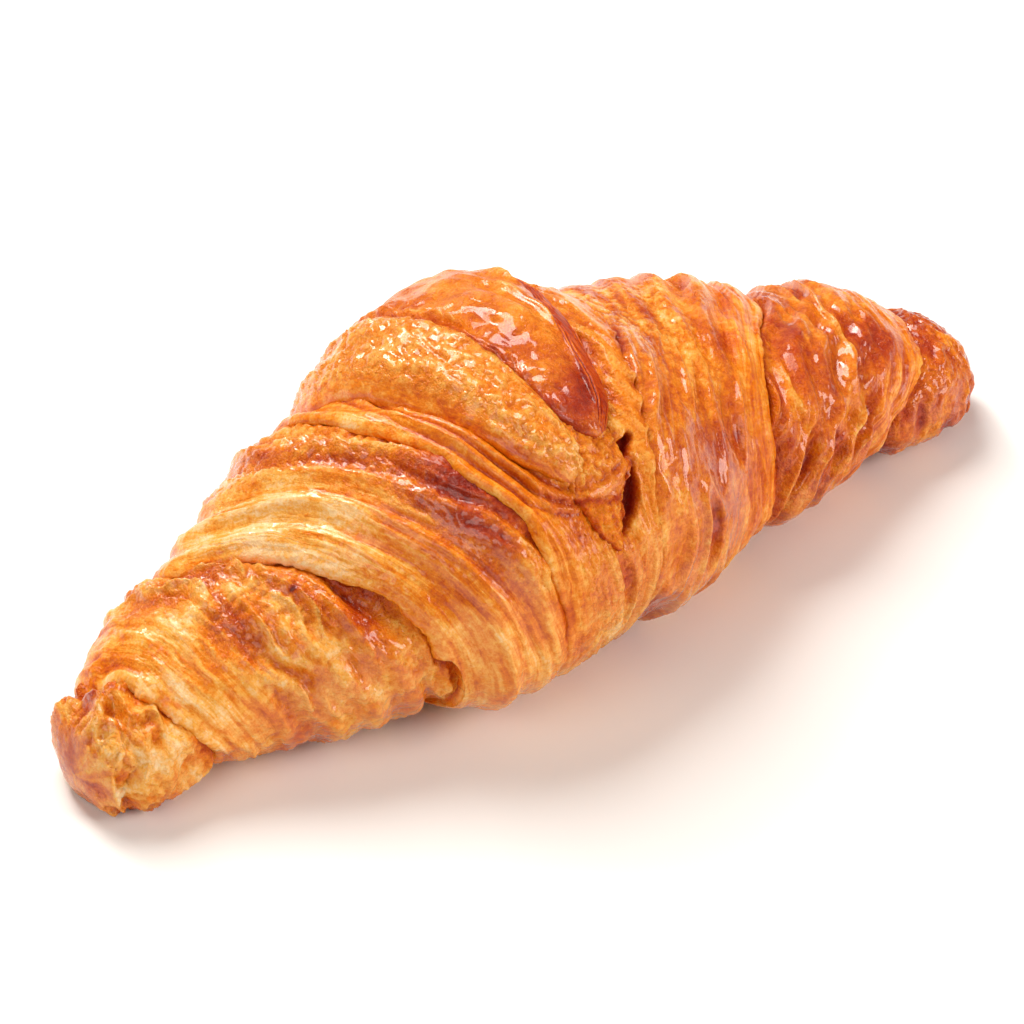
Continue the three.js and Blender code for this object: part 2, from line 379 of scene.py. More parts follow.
def inside_line(along, angle, line):
    """How far a point is inside a long place, in mm, and below 0 outside it. The place is a
    line of (along, angle, half width) points."""
    turned = (angle + 180) % 360 - 180
    inside = np.full(np.shape(along), -1e3)
    for (s, a, w), (s_next, a_next, w_next) in zip(line[:-1], line[1:]):
        dx, dy = s_next - s, (a_next - a) * MM_PER_DEGREE
        px, py = along - s, (turned - a) * MM_PER_DEGREE
        t = np.clip((px * dx + py * dy) / (dx * dx + dy * dy), 0, 1)
        apart = np.hypot(px - t * dx, py - t * dy)
        inside = np.maximum(inside, mix(w, w_next, t) - apart)
    return inside


# %% [markdown]
# The profile of a turn.
# A lip is a rounded edge about as thick as the rolled dough there. Its underside runs back a
# few millimetres, and then a wall closes the piece inside, where nobody sees it. The other end
# is either a lip too, or goes on for a few millimetres under its neighbour, or is a tip.

# %% Rows of a profile
ROW_SPACING, WRAP_ROW_SPACING, STRIP_ROW_SPACING, COLUMN_SPACING = 0.22, 0.26, 0.2, 0.54
LIP_ROWS, UNDERSIDE_ROWS, HIDDEN_ROWS, TIP_ROWS = 12, 4, 6, 26
UNDERSIDE_DEPTH, HIDDEN_DEPTH = 5, 8


class Rows:
    """The rows of one turn, as arrays with one line for each row and one column for each angle:
    place along the roll, distance over the lip, turn of the lip, and share of the core."""

    def __init__(self, angle):
        self.angle = angle
        self.lines = []

    def add(self, along, over=0.0, turned=0.0, core=1.0):
        values = (along, over, turned, core)
        self.lines.append([np.broadcast_to(value, self.angle.shape) for value in values])

    def stacked(self):
        return [np.array(column) for column in zip(*self.lines)]


def add_lip(rows, edge, outward, radius):
    """Rows from inside the piece, back under the lip and round it. outward is -1 or 1."""
    inner = edge - outward * UNDERSIDE_DEPTH
    rows.add(inner, 2 * radius, np.pi, 0)
    rows.add(inner, 2 * radius, np.pi, 0.6)
    for t in np.linspace(0, 1, UNDERSIDE_ROWS):
        rows.add(mix(inner, edge - outward * radius, t), 2 * radius, np.pi)
    for turned in np.linspace(np.pi, 0, LIP_ROWS + 2)[1:-1]:
        rows.add(edge - outward * radius, radius * (1 - np.cos(turned)), turned)


def add_end(rows, outward, kind, edge, radius):
    """Rows of a lip, of an end that is tucked under its neighbour, or of a domed tip. Returns
    where along the roll they end and the plain surface begins."""
    if kind == "lip":
        add_lip(rows, edge, outward, radius)
        return edge - outward * radius
    if kind == "tucked":
        rows.add(edge + outward * HIDDEN_DEPTH, core=0)
        for t in np.linspace(0, 1, HIDDEN_ROWS, endpoint=False):
            rows.add(edge + outward * HIDDEN_DEPTH * (1 - t))
        return edge
    length = (BLUNT_TIP if outward < 0 else SLIM_TIP)["length"]
    for t in np.linspace(1, 0, TIP_ROWS, endpoint=False):
        rows.add(outward * (LENGTH / 2 - length + length * np.sin(t * np.pi / 2)))
    return outward * (LENGTH / 2 - length)


def turn_rows(angle, start, end, spacing):
    """The rows of a turn between two ends. An end is (kind, edge place, lip radius)."""
    rows, last_rows = Rows(angle), Rows(angle)
    first = add_end(rows, -1, *start)
    last = add_end(last_rows, 1, *end)
    steps = int(np.max(last - first) / spacing)
    for t in np.linspace(0, 1, steps + 1):
        rows.add(mix(first, last, t))
    rows.lines += reversed(last_rows.lines)
    return rows.stacked()


# %% One turn of dough
MIDDLE_RADIUS = 33
FLOOR_ROUGHNESS = 0.12


def turn_of_dough(name, start, end, large, skin, radius=MIDDLE_RADIUS, floor=0.0,
                  spacing=ROW_SPACING):
    """A closed turn. large gives the height in mm from (along, angle), and skin gives the fine
    relief and the finish from (along, angle, over, rough points)."""
    columns = int(2 * np.pi * radius / COLUMN_SPACING)
    angle = np.linspace(0, 360, columns + 1)

    def with_edge(end_of_turn):
        kind, edge, lip = end_of_turn
        return kind, edge_place(edge, angle) if edge else 0, lip

    along, over, turned, core = turn_rows(angle, with_edge(start), with_edge(end), spacing)
    angles = np.broadcast_to(angle, along.shape)
    base = large(along, angles)
    rough = crust_point(along, angles, base)
    fine, finish = skin(along, angles, over, rough)
    outward = np.where(along < np.mean(along), -1, 1)
    lip_radius = np.where(outward < 0, start[2], end[2])
    moved = along + outward * np.sin(turned) * (lip_radius + fine)
    height = base - over + np.cos(turned) * fine
    points = crust_point(moved, angles, height, core)
    points[..., 2] = np.maximum(points[..., 2], floor + FLOOR_ROUGHNESS * (1 + fine * 0.5))
    points[..., :2] += AXIS_OFFSET
    return rolled_up(name, points * MILLIMETRE, finish)


# %% [markdown]
# The large height of each turn puts together what touches it: the swell between its edges,
# the slope of its own cut face, the dip where it is covered, and the seat of the tongue.

# %% Heights of the turns
CONE_END, CONE_ROUNDING, CONE_HEIGHT = 14, 12, 1.5
TONGUE_ROOT, TONGUE_FADE = 215, 45
TONGUE_BORDER_DIP, TONGUE_BORDER_REACH = 1.7, 4
SWELLINGS = [
    (-84.5, 92, 2.2, 16, 1.6, 0),
    (-82, 112, 2.6, 11, -1.8, 0),
    (-31, -32, 9, 26, 1.5, 0),
    (-8, -26, 9, 24, -1.2, 0),
]
NUB_CREASE = [-86, -84, -84, -82.3, -83, -84, -84, -84, -84, -84, -84.5, -85.5]
SLIM_NUB = 83.5
BLUNT_NUB_DEPTH, SLIM_NUB_DEPTH, SLIM_NUB_STEP = 0.9, 0.7, 0.6
PINHOLE = ((-54, 61, 0.4, 0.9, 1.4, 0),)
BLUNT_POCKET, SLIM_POCKET, POCKET_REACH = (2.2, 38, 20), (1.7, 60, 22), 2.4
WRAP_STEP, WRAP_STEP_REACH, WRAP_COVERED_DIP = 0.9, 1.3, 2.6


def presence(end, rounding, angle):
    """1 where the tongue lies on the roll, and 0 where it has ended or not begun."""
    past = (angle - end) % 360
    root = TONGUE_ROOT - end
    return np.sqrt(smooth(past, 0, rounding)) * (1 - smooth(past, root, root + TONGUE_FADE))


def beside_tongue(along, angle):
    """The dip of the roll beside the tongue that lies on it."""
    left = edge_place("tongue_start", angle) - along
    right = along - edge_place("tongue_end", angle)
    outside = np.maximum(np.maximum(left, right), 0)
    cone = presence(CONE_END, CONE_ROUNDING, angle)
    return -TONGUE_BORDER_DIP * cone * np.exp(-outside / TONGUE_BORDER_REACH)


def lumps(along, angle):
    at = crust_point(along, angle, 0 * along) / LUMP_SIZE
    return LUMP_HEIGHT * noise(at[..., 0], at[..., 1], at[..., 2])


def common(along, angle):
    """What all turns share. It lies a little low, to leave room for the fine relief on top."""
    large = folds(along, angle) + lumps(along, angle) + spots(along, angle, SWELLINGS)
    return large - FINE_RELIEF_ROOM


def nub_crease(along, angle):
    """How far a point is from the crease round the nub, in mm, past it where positive."""
    return along - curve_through(NUB_CREASE, angle / EDGE_STEP, True) - 1.4 * ragged(angle, 31)


def blunt_tip_height(along, angle):
    edge = edge_place("blunt_tip", angle)
    covered = covered_dip(along - edge, EDGE_STRENGTH["blunt_tip"])
    past = nub_crease(along, angle)
    nub = -BLUNT_NUB_DEPTH * np.exp(-((past / 0.7) ** 2))
    nub = nub + BLUNT_NUB_DEPTH * (smooth(past, -0.5, 0.7) - 1) * np.exp(-((past / 4) ** 2))
    return swell(along, -LENGTH / 2, edge) + covered + common(along, angle) + nub


def pocket(past, angle, depth, middle, spread):
    """A hollow where the dough has drawn back from under the lip above it."""
    turned = (angle - middle + 180) % 360 - 180
    return depth * np.exp(-((turned / spread) ** 2) - (past / POCKET_REACH) ** 2)


def blunt_turn_height(along, angle):
    own, cover = edge_place("blunt_tip", angle), edge_place("blunt_turn", angle)
    covered = covered_dip(along - cover, EDGE_STRENGTH["blunt_turn"])
    cut = cut_face_fall(along - own, EDGE_STRENGTH["blunt_tip"])
    hollow = pocket(along - edge_line("blunt_turn", angle) + 2, angle, *BLUNT_POCKET)
    hollow = hollow + spots(along, angle, PINHOLE)
    return swell(along, own, cover) + covered + cut + common(along, angle) - hollow


def middle_height(along, angle):
    left, right = edge_place("blunt_turn", angle), edge_place("slim_turn", angle)
    cut = cut_face_fall(along - left, EDGE_STRENGTH["blunt_turn"])
    cut = cut + cut_face_fall(right - along, EDGE_STRENGTH["slim_turn"])
    return swell(along, left, right) + cut + beside_tongue(along, angle) + common(along, angle)


def under_wrap(inward):
    """The step down of a barrel beside the wrap, and its fall once it is under it."""
    step = -WRAP_STEP * np.exp(np.minimum(inward, 0) / WRAP_STEP_REACH)
    return step - WRAP_COVERED_DIP * smooth(inward, -0.2, 3)


def left_barrel_height(along, angle):
    return middle_height(along, angle) + under_wrap(along - edge_place("wrap_start", angle))


def right_barrel_height(along, angle):
    return middle_height(along, angle) + under_wrap(edge_place("wrap_end", angle) - along)


def slim_turn_height(along, angle):
    own, cover = edge_place("slim_tip", angle), edge_place("slim_turn", angle)
    covered = covered_dip(cover - along, EDGE_STRENGTH["slim_turn"])
    cut = cut_face_fall(own - along, EDGE_STRENGTH["slim_tip"])
    hollow = pocket(edge_line("slim_turn", angle) + 2 - along, angle, *SLIM_POCKET)
    return swell(along, cover, own) + covered + cut + common(along, angle) - hollow


def slim_tip_height(along, angle):
    edge = edge_place("slim_tip", angle)
    covered = covered_dip(edge - along, EDGE_STRENGTH["slim_tip"])
    past = SLIM_NUB - along + 1.6 * ragged(angle, 33)
    nub = -SLIM_NUB_DEPTH * np.exp(-((past / 0.6) ** 2)) - SLIM_NUB_STEP * smooth(-past, -0.3, 1)
    return swell(along, edge, LENGTH / 2) + covered + common(along, angle) + nub


# %% [markdown]
# The skin and its finish.
# Each corner of a mesh carries a few numbers for its material: how far its baking has gone, with
# painted light and shade added to it, how glossy it is, how much painted shade it has in slits,
# creases, hollows and under lips, how much it is a cut edge, and its distance from the lip. They
# could be painted by hand, but they come from the same noise as the relief, so a crest is always
# painted paler than its valley, as painted light, and a slit is always painted dark, as painted
# shade.

# %% Skin of a turn
FAN_SIZE = np.array([3.2, 2.6, 9])
BORDER_WANDER, BORDER_FRAY = 1.6, 2.2
BORDER_START, BORDER_END = -4, 3.5
PAINTED_SHADE_BESIDE_COVER, DULL_BESIDE_COVER = 1.1, 2.6


class Skin:
    """What one turn's surface is like. edge is the turn's own lip, with inward 1 where the turn
    goes on towards the slim tip, and cover is the lip that lies on the turn, beside which the turn
    is darkened with painted shade and its glaze is dulled. widths are the cut edge's, as (angle,
    mm) pairs round the roll. wrinkle, blister and fan are heights in mm, and browned, glossed,
    blistered and wrinkled are places that have more or less of each; some browned places are
    painted shade in creases and hollows."""

    def __init__(self, seed, edge=None, inward=1, widths=((0, 12),), baked=0.42, gloss=0.6,
                 wrinkle=0.45, wrinkle_width=2.3, wrinkle_length=20, blister=0.15,
                 blister_size=1.6, browned=(), glossed=(), blistered=(), wrinkled=(), fan=0,
                 cover=None):
        self.seed, self.edge, self.inward, self.widths = seed, edge, inward, widths
        self.baked, self.gloss, self.fan, self.cover = baked, gloss, fan, cover
        self.wrinkle, self.wrinkle_width = wrinkle, wrinkle_width
        self.wrinkle_length = wrinkle_length
        self.blister, self.blister_size = blister, blister_size
        self.browned, self.glossed = browned, glossed
        self.blistered, self.wrinkled = blistered, wrinkled

    def cut_edge(self, along, angle, inward):
        """1 on the cut edge and 0 on the skin, with a border that wanders."""
        if not self.edge:
            return 0 * along
        turns, widths = zip(*self.widths)
        width = np.interp(angle % 360, turns, widths, period=360)
        width = width + BORDER_WANDER * stretched(0 * along, angle, 1, 9, self.seed + 20)
        width = width + BORDER_FRAY * stretched(inward, angle, 2.5, 9, self.seed + 21)
        return 1 - smooth(inward, width + BORDER_START, width + BORDER_END)

    def blisters_of(self, points):
        """Large blisters with smaller ones on them, a little below 0 in the creases."""
        large = blisters(points, self.blister_size, self.seed)
        small = blisters(points, 0.5 * self.blister_size, self.seed + 3)
        return 0.65 * large + 0.35 * small - 0.4

    def mottled(self, points):
        """Uneven baking, in patches of three sizes."""
        total = patches(points, 3.1, self.seed) + 0.6 * patches(points, 1.1, self.seed)
        return total + 0.7 * patches(points, 8, self.seed)

    def __call__(self, along, angle, over, points):
        if self.edge:
            distance = self.inward * (along - edge_line(self.edge, angle))
        else:
            distance = along + LENGTH / 2
        inward = distance - over
        cut = self.cut_edge(along, angle, inward)
        strand_height, slit, shade = strands(inward, angle, self.seed)
        crease = wrinkles(inward, angle, self.wrinkle_width, self.wrinkle_length, self.seed + 30)
        flake = flakes(inward, angle, self.seed + 40)
        wrinkled = np.clip(1 + spots(along, angle, self.wrinkled), 0, 3)
        blister = self.blisters_of(points)
        pimples = blisters(points, PIMPLE_SIZE, self.seed + 6) - 0.4
        blistered = np.clip(1 + spots(along, angle, self.blistered), 0, 4)
        skin = 1 - cut
        skin_height = self.wrinkle * wrinkled * crease + FLAKE_THICKNESS * (flake - 0.5)
        skin_height = skin_height + self.blister * blistered * (blister + PIMPLE_SHARE * pimples)
        fine = (cut + 0.06 * skin) * strand_height + skin * skin_height + 0.14 * cut * pimples
        fan = 1 - 2.6 * np.abs(patches(points, FAN_SIZE, self.seed))
        fine = fine + self.fan * fan

        baked = self.baked + 0.1 * self.mottled(points) + spots(along, angle, self.browned)
        # The strands' painted light and shade go into the tone here, strongest on the cut edge.
        baked = baked - 0.02 * cut + 0.12 * shade * (cut + 0.4 * skin)
        # Painted light and shade: crests, blister tops and pimples are painted paler, and the
        # valleys between them darker.
        painted_relief_light = 0.13 * crease + 0.12 * blistered * blister + 0.08 * pimples
        baked = baked + (0.08 * (flake - 0.7) - painted_relief_light) * skin
        gloss = self.gloss * (1 - 0.35 * cut) * (0.35 + 0.65 * flake)
        gloss = gloss + spots(along, angle, self.glossed)
        # Beside the lip that covers this turn, a narrow band is painted darker as painted shade,
        # and the glaze there is dulled.
        if self.cover:
            uncovered = np.abs(along - edge_place(self.cover, angle))
            baked = baked + 0.2 * np.exp(-((uncovered / PAINTED_SHADE_BESIDE_COVER) ** 2))
            gloss = gloss * (1 - 0.8 * np.exp(-((uncovered / DULL_BESIDE_COVER) ** 2)))
        # Painted shade: the slits, the valleys of the wrinkles and of the tip's pleats, and the
        # underside of the lip are darkened as if in shade, and their glaze is weaker.
        deep = 0.4 * slit * (cut + 0.12 * skin) + 0.5 * smooth(-crease, 0.1, 0.9) * skin
        fan_painted_shade = smooth(-0.2 - fan, 0, 0.8) * (self.fan > 0)
        deep = np.maximum(deep + 0.6 * fan_painted_shade, smooth(over, 0.6, 2.2))
        finish = {"baked": baked, "gloss": gloss, "deep": deep, "cut": cut, "strand": inward}
        return fine, finish


# %% [markdown]
# The turns, from the blunt tip to the slim one. The places that are browner, glossier, more
# wrinkled or more blistered are where they are on the real croissant, except a few browner ones
# that are painted shade in creases and hollows.

# %% The blunt end
pieces = []
pieces.append(turn_of_dough(
    "blunt_tip", ("tip", None, 0), ("tucked", "blunt_tip", 0), blunt_tip_height,
    Skin(seed=1, baked=0.33, gloss=0.6, wrinkle=0.15, blister=0.4, fan=0.9, cover="blunt_tip",
         browned=((-90, 60, 2.2, 120, 0.32, 0), (-84, -35, 7, 22, 0.25, 0),
                  # The two narrow browner places at -84 lie along the nub's crease and are painted
                  # shade in it.
                  (-84, 100, 1.8, 10, 0.5, 0), (-84, 150, 3, 30, 0.2, 0)),
         glossed=((-82, 100, 4, 20, 0.5, 0), (-86.5, 75, 2.5, 25, 0.5, 0)),
         blistered=((-87.5, 60, 2.5, 120, 1.4, 0), (-84, -20, 5, 30, 1.2, 0))),
    radius=17, floor=0.25,
))
pieces.append(turn_of_dough(
    "blunt_turn", ("lip", "blunt_tip", 0.55), ("tucked", "blunt_turn", 0), blunt_turn_height,
    Skin(seed=2, edge="blunt_tip", widths=((0, 10), (60, 11), (120, 9), (240, 10)), baked=0.4,
         gloss=0.95, wrinkle=0.8, wrinkle_width=2.2, blister=0.5, blister_size=2.3,
         # The browner place at -48, 40 is painted shade in the hollow under the left barrel's lip,
         # and the small dark one at -54, 61 is painted shade in the pinhole.
         browned=((-62, 66, 5, 12, 0.06, 0), (-56, -20, 10, 25, 0.12, 0), (-48, 40, 3, 20, 0.3, 0),
                  (-54, 61, 0.5, 1.1, 1, 0), (-70, 85, 5, 22, -0.08, 0)),
         blistered=((-62, 95, 9, 32, 0.9, 0),), cover="blunt_turn"),
    radius=27, floor=0.12,
))

# %% [markdown]
# Round the end of the tongue.
# Where the tongue ends, the dough has drawn back and left a small hole and a longer gap, and
# two thin layers run along it, rolled up like paper. Openings that are cut with a boolean have
# sharp rims, which no dough has. So here they are places where the wrap's own surface sinks,
# and the rolled layers are places where it rises. Each is a short line of points on the roll,
# with its half width at each point.

# %% Round the end of the tongue
HOLE = ((-1.5, 44, 0.5), (-3.5, 41.8, 1.1), (-5.3, 40.6, 0.9), (-7.2, 40.6, 0.4))
GAP = (
    (-3.1, 35, 0.2), (-4.3, 31, 1.1), (-5.2, 27, 1.6), (-6.4, 23, 1.5), (-8.4, 19, 0.8),
    (-9.2, 18, 0.2),
)
OPENING_DEPTH = 2.3
INNER_ROLL = (
    (-23, 140, 0), (-26, 122, 0), (-26.6, 105, 0), (-26.1, 90, 0), (-24.4, 75, 0), (-22.3, 60, 0),
    (-21.2, 53, 0), (-19.8, 45, 0), (-17.5, 39, 0), (-14.5, 35.3, 0), (-11, 34.3, 0),
    (-7.5, 35.8, 0), (-4, 37.5, 0),
)
OUTER_ROLL = (
    (-28.4, 122, 0), (-28.8, 105, 0), (-28.3, 90, 0), (-26.6, 75, 0), (-24.5, 60, 0),
    (-23.3, 53, 0), (-21.9, 44, 0), (-19, 37, 0), (-15.3, 32.8, 0), (-12.5, 31.5, 0),
)
INNER_ROLL_HEIGHT, OUTER_ROLL_HEIGHT, ROLL_CREASE_DEPTH = 0.5, 0.3, 0.4


def opened(along, angle):
    """1 in the two openings beside the tongue's end, and 0 elsewhere."""
    wander = 0.35 * stretched(along, angle, 1.6, 1.6, 71)
    inside = np.maximum(inside_line(along, angle, HOLE), inside_line(along, angle, GAP))
    return smooth(inside + wander, -0.2, 0.5)


def rolled_layers(along, angle):
    """Two thin layers that are rolled up along the tongue: their height in mm, the creases
    beside them, and 1 on the layers themselves."""
    inner = inside_line(along, angle, INNER_ROLL)
    outer = inside_line(along, angle, OUTER_ROLL)
    height = INNER_ROLL_HEIGHT * np.exp(-((inner / 0.75) ** 2))
    height = height + OUTER_ROLL_HEIGHT * np.exp(-((outer / 0.7) ** 2))
    crease = np.exp(-(((inner + 1.2) / 0.35) ** 2)) + np.exp(-(((outer + 1.0) / 0.3) ** 2))
    layer = np.clip(np.exp(-((inner / 1.0) ** 4)) + np.exp(-((outer / 0.9) ** 4)), 0, 1)
    return height - ROLL_CREASE_DEPTH * crease, crease, layer


def wrap_height(along, angle):
    return middle_height(along, angle) - OPENING_DEPTH * opened(along, angle)


# %% The wrap's own skin
WRAP_SKIN = Skin(
    seed=4, edge="wrap_start", widths=((0, 3), (60, 6), (150, 8), (300, 4)), baked=0.46,
    gloss=0.45, wrinkle=0.6, wrinkle_width=2.2, blister=0.45, blister_size=1.3,
    # The browner place at -16.5, 25, left of the cone, is painted shade in a rough hollow.
    browned=((-16.5, 25, 3, 8, 0.2, 0), (-4, -20, 8, 18, -0.08, 0)),
)
CRUMBLED_PLACE = ((-6, 40, 4, 9, 1, 0),)


def wrap_skin(along, angle, over, points):
    fine, finish = WRAP_SKIN(along, angle, over, points)
    rolls, crease, layer = rolled_layers(along, angle)
    hole = opened(along, angle)
    crumbled = spots(along, angle, CRUMBLED_PLACE) * (1 - hole)
    crumb = blisters(points, 1.3, 15) + 0.6 * blisters(points, 0.7, 16) - 0.6
    end_band = np.exp(-(((along - edge_line("wrap_end", angle) + 2.2) / 1.8) ** 4))
    strand_height, _, shade = strands(along, angle, 44)
    fine = mix(fine, strand_height, end_band) * (1 - 0.1 * layer) + rolls + 0.6 * crumbled * crumb
    # Painted light and shade: the wrap's end band gets the strands' painted light and shade, crumbs
    # are painted paler on top and darker between, and the creases beside the rolled layers and the
    # two openings are painted darker as painted shade.
    baked = mix(finish["baked"], 0.36 + 0.1 * shade, end_band)
    baked = mix(baked, 0.5, 0.8 * layer) + 0.22 * np.clip(crease, 0, 1) + 0.6 * hole
    finish["baked"] = baked + 0.12 * crumbled * (1 - 2 * crumb)
    finish["gloss"] = mix(finish["gloss"], 0.45, layer)
    # The openings get full painted shade.
    finish["deep"] = np.maximum(finish["deep"] * (1 - layer), hole)
    return fine, finish


# %% The middle
pieces.append(turn_of_dough(
    "left_barrel", ("lip", "blunt_turn", 0.85), ("tucked", "wrap_start", 0), left_barrel_height,
    Skin(seed=3, edge="blunt_turn", widths=((0, 17), (40, 12), (90, 14), (150, 12), (300, 15)),
         baked=0.45, gloss=0.95, wrinkle=0.6, blister=0.5, blister_size=1.9,
         browned=((-30, 49, 4.5, 25, 0.33, -0.02), (-28, 71, 2.5, 6, 0.16, 0),
                  (-52, 90, 8, 26, -0.24, 0), (-55, 125, 12, 30, -0.1, 0)),
         glossed=((-29, 40, 6, 30, 0.4, 0), (-50, 85, 9, 28, 0.5, 0)),
         blistered=((-40, 95, 9, 30, 0.8, 0),), cover="wrap_start"),
))
pieces.append(turn_of_dough(
    "wrap", ("lip", "wrap_start", 0.6), ("lip", "wrap_end", 0.5), wrap_height, wrap_skin,
    spacing=WRAP_ROW_SPACING,
))
pieces.append(turn_of_dough(
    "right_barrel", ("tucked", "wrap_end", 0), ("lip", "slim_turn", 0.8), right_barrel_height,
    Skin(seed=5, edge="slim_turn", inward=-1,
         widths=((0, 12), (20, 9), (45, 7), (90, 9), (150, 11), (300, 13)), baked=0.5,
         gloss=1.0, wrinkle=1.05, blister=0.12, wrinkle_width=3.3, wrinkle_length=17,
         browned=((30, 69, 3, 8, 0.35, 0), (15, 20, 10, 25, 0.1, 0), (24, 100, 10, 24, -0.05, 0),
                  (16, 72, 1, 14, 0.2, 0.15)),
         wrinkled=((15, 36, 8, 26, 0.3, 0), (18, 105, 16, 38, -1.2, 0), (3, 36, 4, 12, -0.8, 0)),
         blistered=((20, 95, 14, 30, 2.5, 0), (3, 36, 4, 10, 1, 0)),
         glossed=((22, 116, 22, 26, -0.6, 0), (32, 40, 8, 90, -0.7, 0), (3, 36, 4, 12, 0.4, 0))),
))

# %% The slim end
pieces.append(turn_of_dough(
    "slim_turn", ("tucked", "slim_turn", 0), ("lip", "slim_tip", 0.6), slim_turn_height,
    Skin(seed=6, edge="slim_tip", inward=-1, widths=((0, 9), (25, 11), (53, 8), (90, 5), (200, 8)),
         baked=0.55, gloss=1.0, wrinkle=1.05, blister=0.15, wrinkle_width=3.0, wrinkle_length=22,
         # The browner place at 44, 60 is painted shade in the hollow under the right barrel's lip.
         browned=((63, 58, 4, 18, 0.35, 0), (44, 60, 4, 22, 0.18, 0)),
         wrinkled=((48, 35, 8, 30, 0.3, 0),), glossed=((68, 75, 6, 60, -0.5, 0),),
         cover="slim_turn"),
    radius=25, floor=0.12,
))
pieces.append(turn_of_dough(
    "slim_tip", ("tucked", "slim_tip", 0), ("tip", None, 0), slim_tip_height,
    Skin(seed=7, baked=0.6, gloss=0.8, wrinkle=0.4, blister=0.35, fan=0.4,
         browned=((90, 60, 3, 200, 0.15, 0), (80, 100, 9, 22, 0.2, 0),
                  # The narrow browner ring at 83.5 is painted shade in the crease round the nub.
                  (83.5, 40, 0.9, 200, 0.15, 0), (84, -20, 6, 30, 0.15, 0)),
         glossed=((87, 40, 4, 200, -0.4, 0),)),
    radius=14, floor=0.25,
))

# %% [markdown]
# The tongue.
# The last turn of the dough lies over the top and ends on the front in three layers: a
# crumbly cone that makes the point, a pale pillow with its rounded end, and the glazed ridge
# beside it. Each is a flattened tube whose upper side shows and whose lower side is sunk in
# the turn below, so it is closed all round like the others.

# %% Layers of the tongue
TONGUE_FLOOR = -2.5
BOTTOM_ROWS = 12
HIDDEN_ROOT, ROOT_CLOSING = 258, 6
TONGUE_FINENESS = 1.3


def tongue_layer(name, left, right, end, rounding, height_over, skin, spacing=STRIP_ROW_SPACING,
                 root=HIDDEN_ROOT):
    """A layer between two edges given by (angle) functions, from its rounded end to its root.
    height_over gives the height in mm from (share across, along, angle, closing), where closing
    rises from 0 at the two ends to 1."""
    length = np.radians(root - end) * MIDDLE_RADIUS
    columns = int(length / COLUMN_SPACING * TONGUE_FINENESS)
    t = np.linspace(0, 1, columns + 1)
    angle = end + (root - end) * t
    closing = np.sqrt(1 - (1 - np.clip((angle - end) / rounding, 0, 1)) ** 2)
    past_root = np.clip((angle - root + ROOT_CLOSING) / ROOT_CLOSING, 0, 1)
    closing = closing * np.sqrt(1 - past_root**2)
    a, b = left(angle), right(angle)
    middle, half = (a + b) / 2, (b - a) / 2 * closing
    top_rows = int(np.max(b - a) / spacing)
    round_trip = np.concatenate([
        np.pi - np.pi * np.linspace(0, 1, top_rows, endpoint=False),
        -np.pi * np.linspace(0, 1, BOTTOM_ROWS + 1),
    ])
    phi = round_trip[:, None]
    across = np.cos(phi) * np.ones_like(angle)
    along = middle + across * half
    angles = np.broadcast_to(angle, along.shape)
    side = np.sin(phi)
    base = middle_height(along, angles)
    share = (across + 1) / 2
    top = height_over(share, along, angles, closing)
    sunk = TONGUE_FLOOR * np.minimum(closing, 1)
    height = base + np.where(side >= 0, top * np.abs(side) ** 0.75, sunk * np.abs(side) ** 0.75)
    rough = crust_point(along, angles, height)
    fine, finish = skin(share, along, angles, half * (1 - np.abs(across)), rough)
    shown = smooth(side, 0, 0.25) * closing
    points = crust_point(along, angles, height + fine * shown)
    points[..., 2] = np.maximum(points[..., 2], FLOOR_ROUGHNESS)
    points[..., :2] += AXIS_OFFSET
    return rolled_up(name, points * MILLIMETRE, finish)


def tongue_fade(angle):
    """1 on the front and over the top, and 0 at the tongue's hidden root behind."""
    return 1 - smooth(angle, TONGUE_ROOT, TONGUE_ROOT + TONGUE_FADE)


def finish_of(baked, gloss, deep, cut, strand):
    like = np.zeros(np.broadcast(baked, gloss, deep, cut, strand).shape)
    return {"baked": baked + like, "gloss": gloss + like, "deep": deep + like,
            "cut": cut + like, "strand": strand + like}


# %% [markdown]
# The pale strip.
# It is the left part of the tongue: puffed up like a pillow, paler than the rest, and covered
# in small round blisters. Blisters can be a bump in the material, but here their own shadows
# and glints show, so they are in the mesh.

# %% The pale strip
STRIP_END_HEIGHT, STRIP_RISE = CONE_HEIGHT + 0.3, 1.4
UNDER_RIDGE = 1.2
PALE_END = ((-9.5, 47, 3, 7, 1, 0),)


def strip_height(share, along, angle, closing):
    return closing * tongue_fade(angle) * (STRIP_END_HEIGHT + STRIP_RISE * smooth(angle, 36, 64))


def strip_skin(share, along, angle, from_side, points):
    blister = blisters(points, 1.4, 8) + 0.6 * blisters(points, 0.8, 9)
    wrinkle = stretched(angle / 2, 40 * along, 1.0, 90, 10)
    inward = along - edge_place("tongue_start", angle)
    strand_height, slit, shade = strands(inward, angle, 40)
    cut = 1 - smooth(from_side, 0.5, 2.2)
    pale_end = spots(along, angle, PALE_END)
    crumb = blisters(points, 1.0, 18) - 0.5
    fine = (0.48 * blister + 0.16 * wrinkle) * (1 - cut) + 0.6 * strand_height
    fine = fine + 0.7 * crumb * pale_end
    # Painted light and shade: the strands' shade, blister tops painted paler with darker hollows
    # between them, and painted shade in the slits of the cut side.
    baked = 0.35 + 0.1 * patches(points, 1.6, 0) - 0.24 * pale_end + 0.14 * cut + 0.05 * shade
    baked = baked - 0.1 * (blister - 0.8)
    return fine, finish_of(baked, 0.8, 0.5 * slit * cut, cut, inward)


pieces.append(tongue_layer(
    "pale_strip", lambda angle: edge_place("tongue_start", angle),
    lambda angle: edge_place("ridge_start", angle) + UNDER_RIDGE, end=37, rounding=16,
    height_over=strip_height, skin=strip_skin,
))

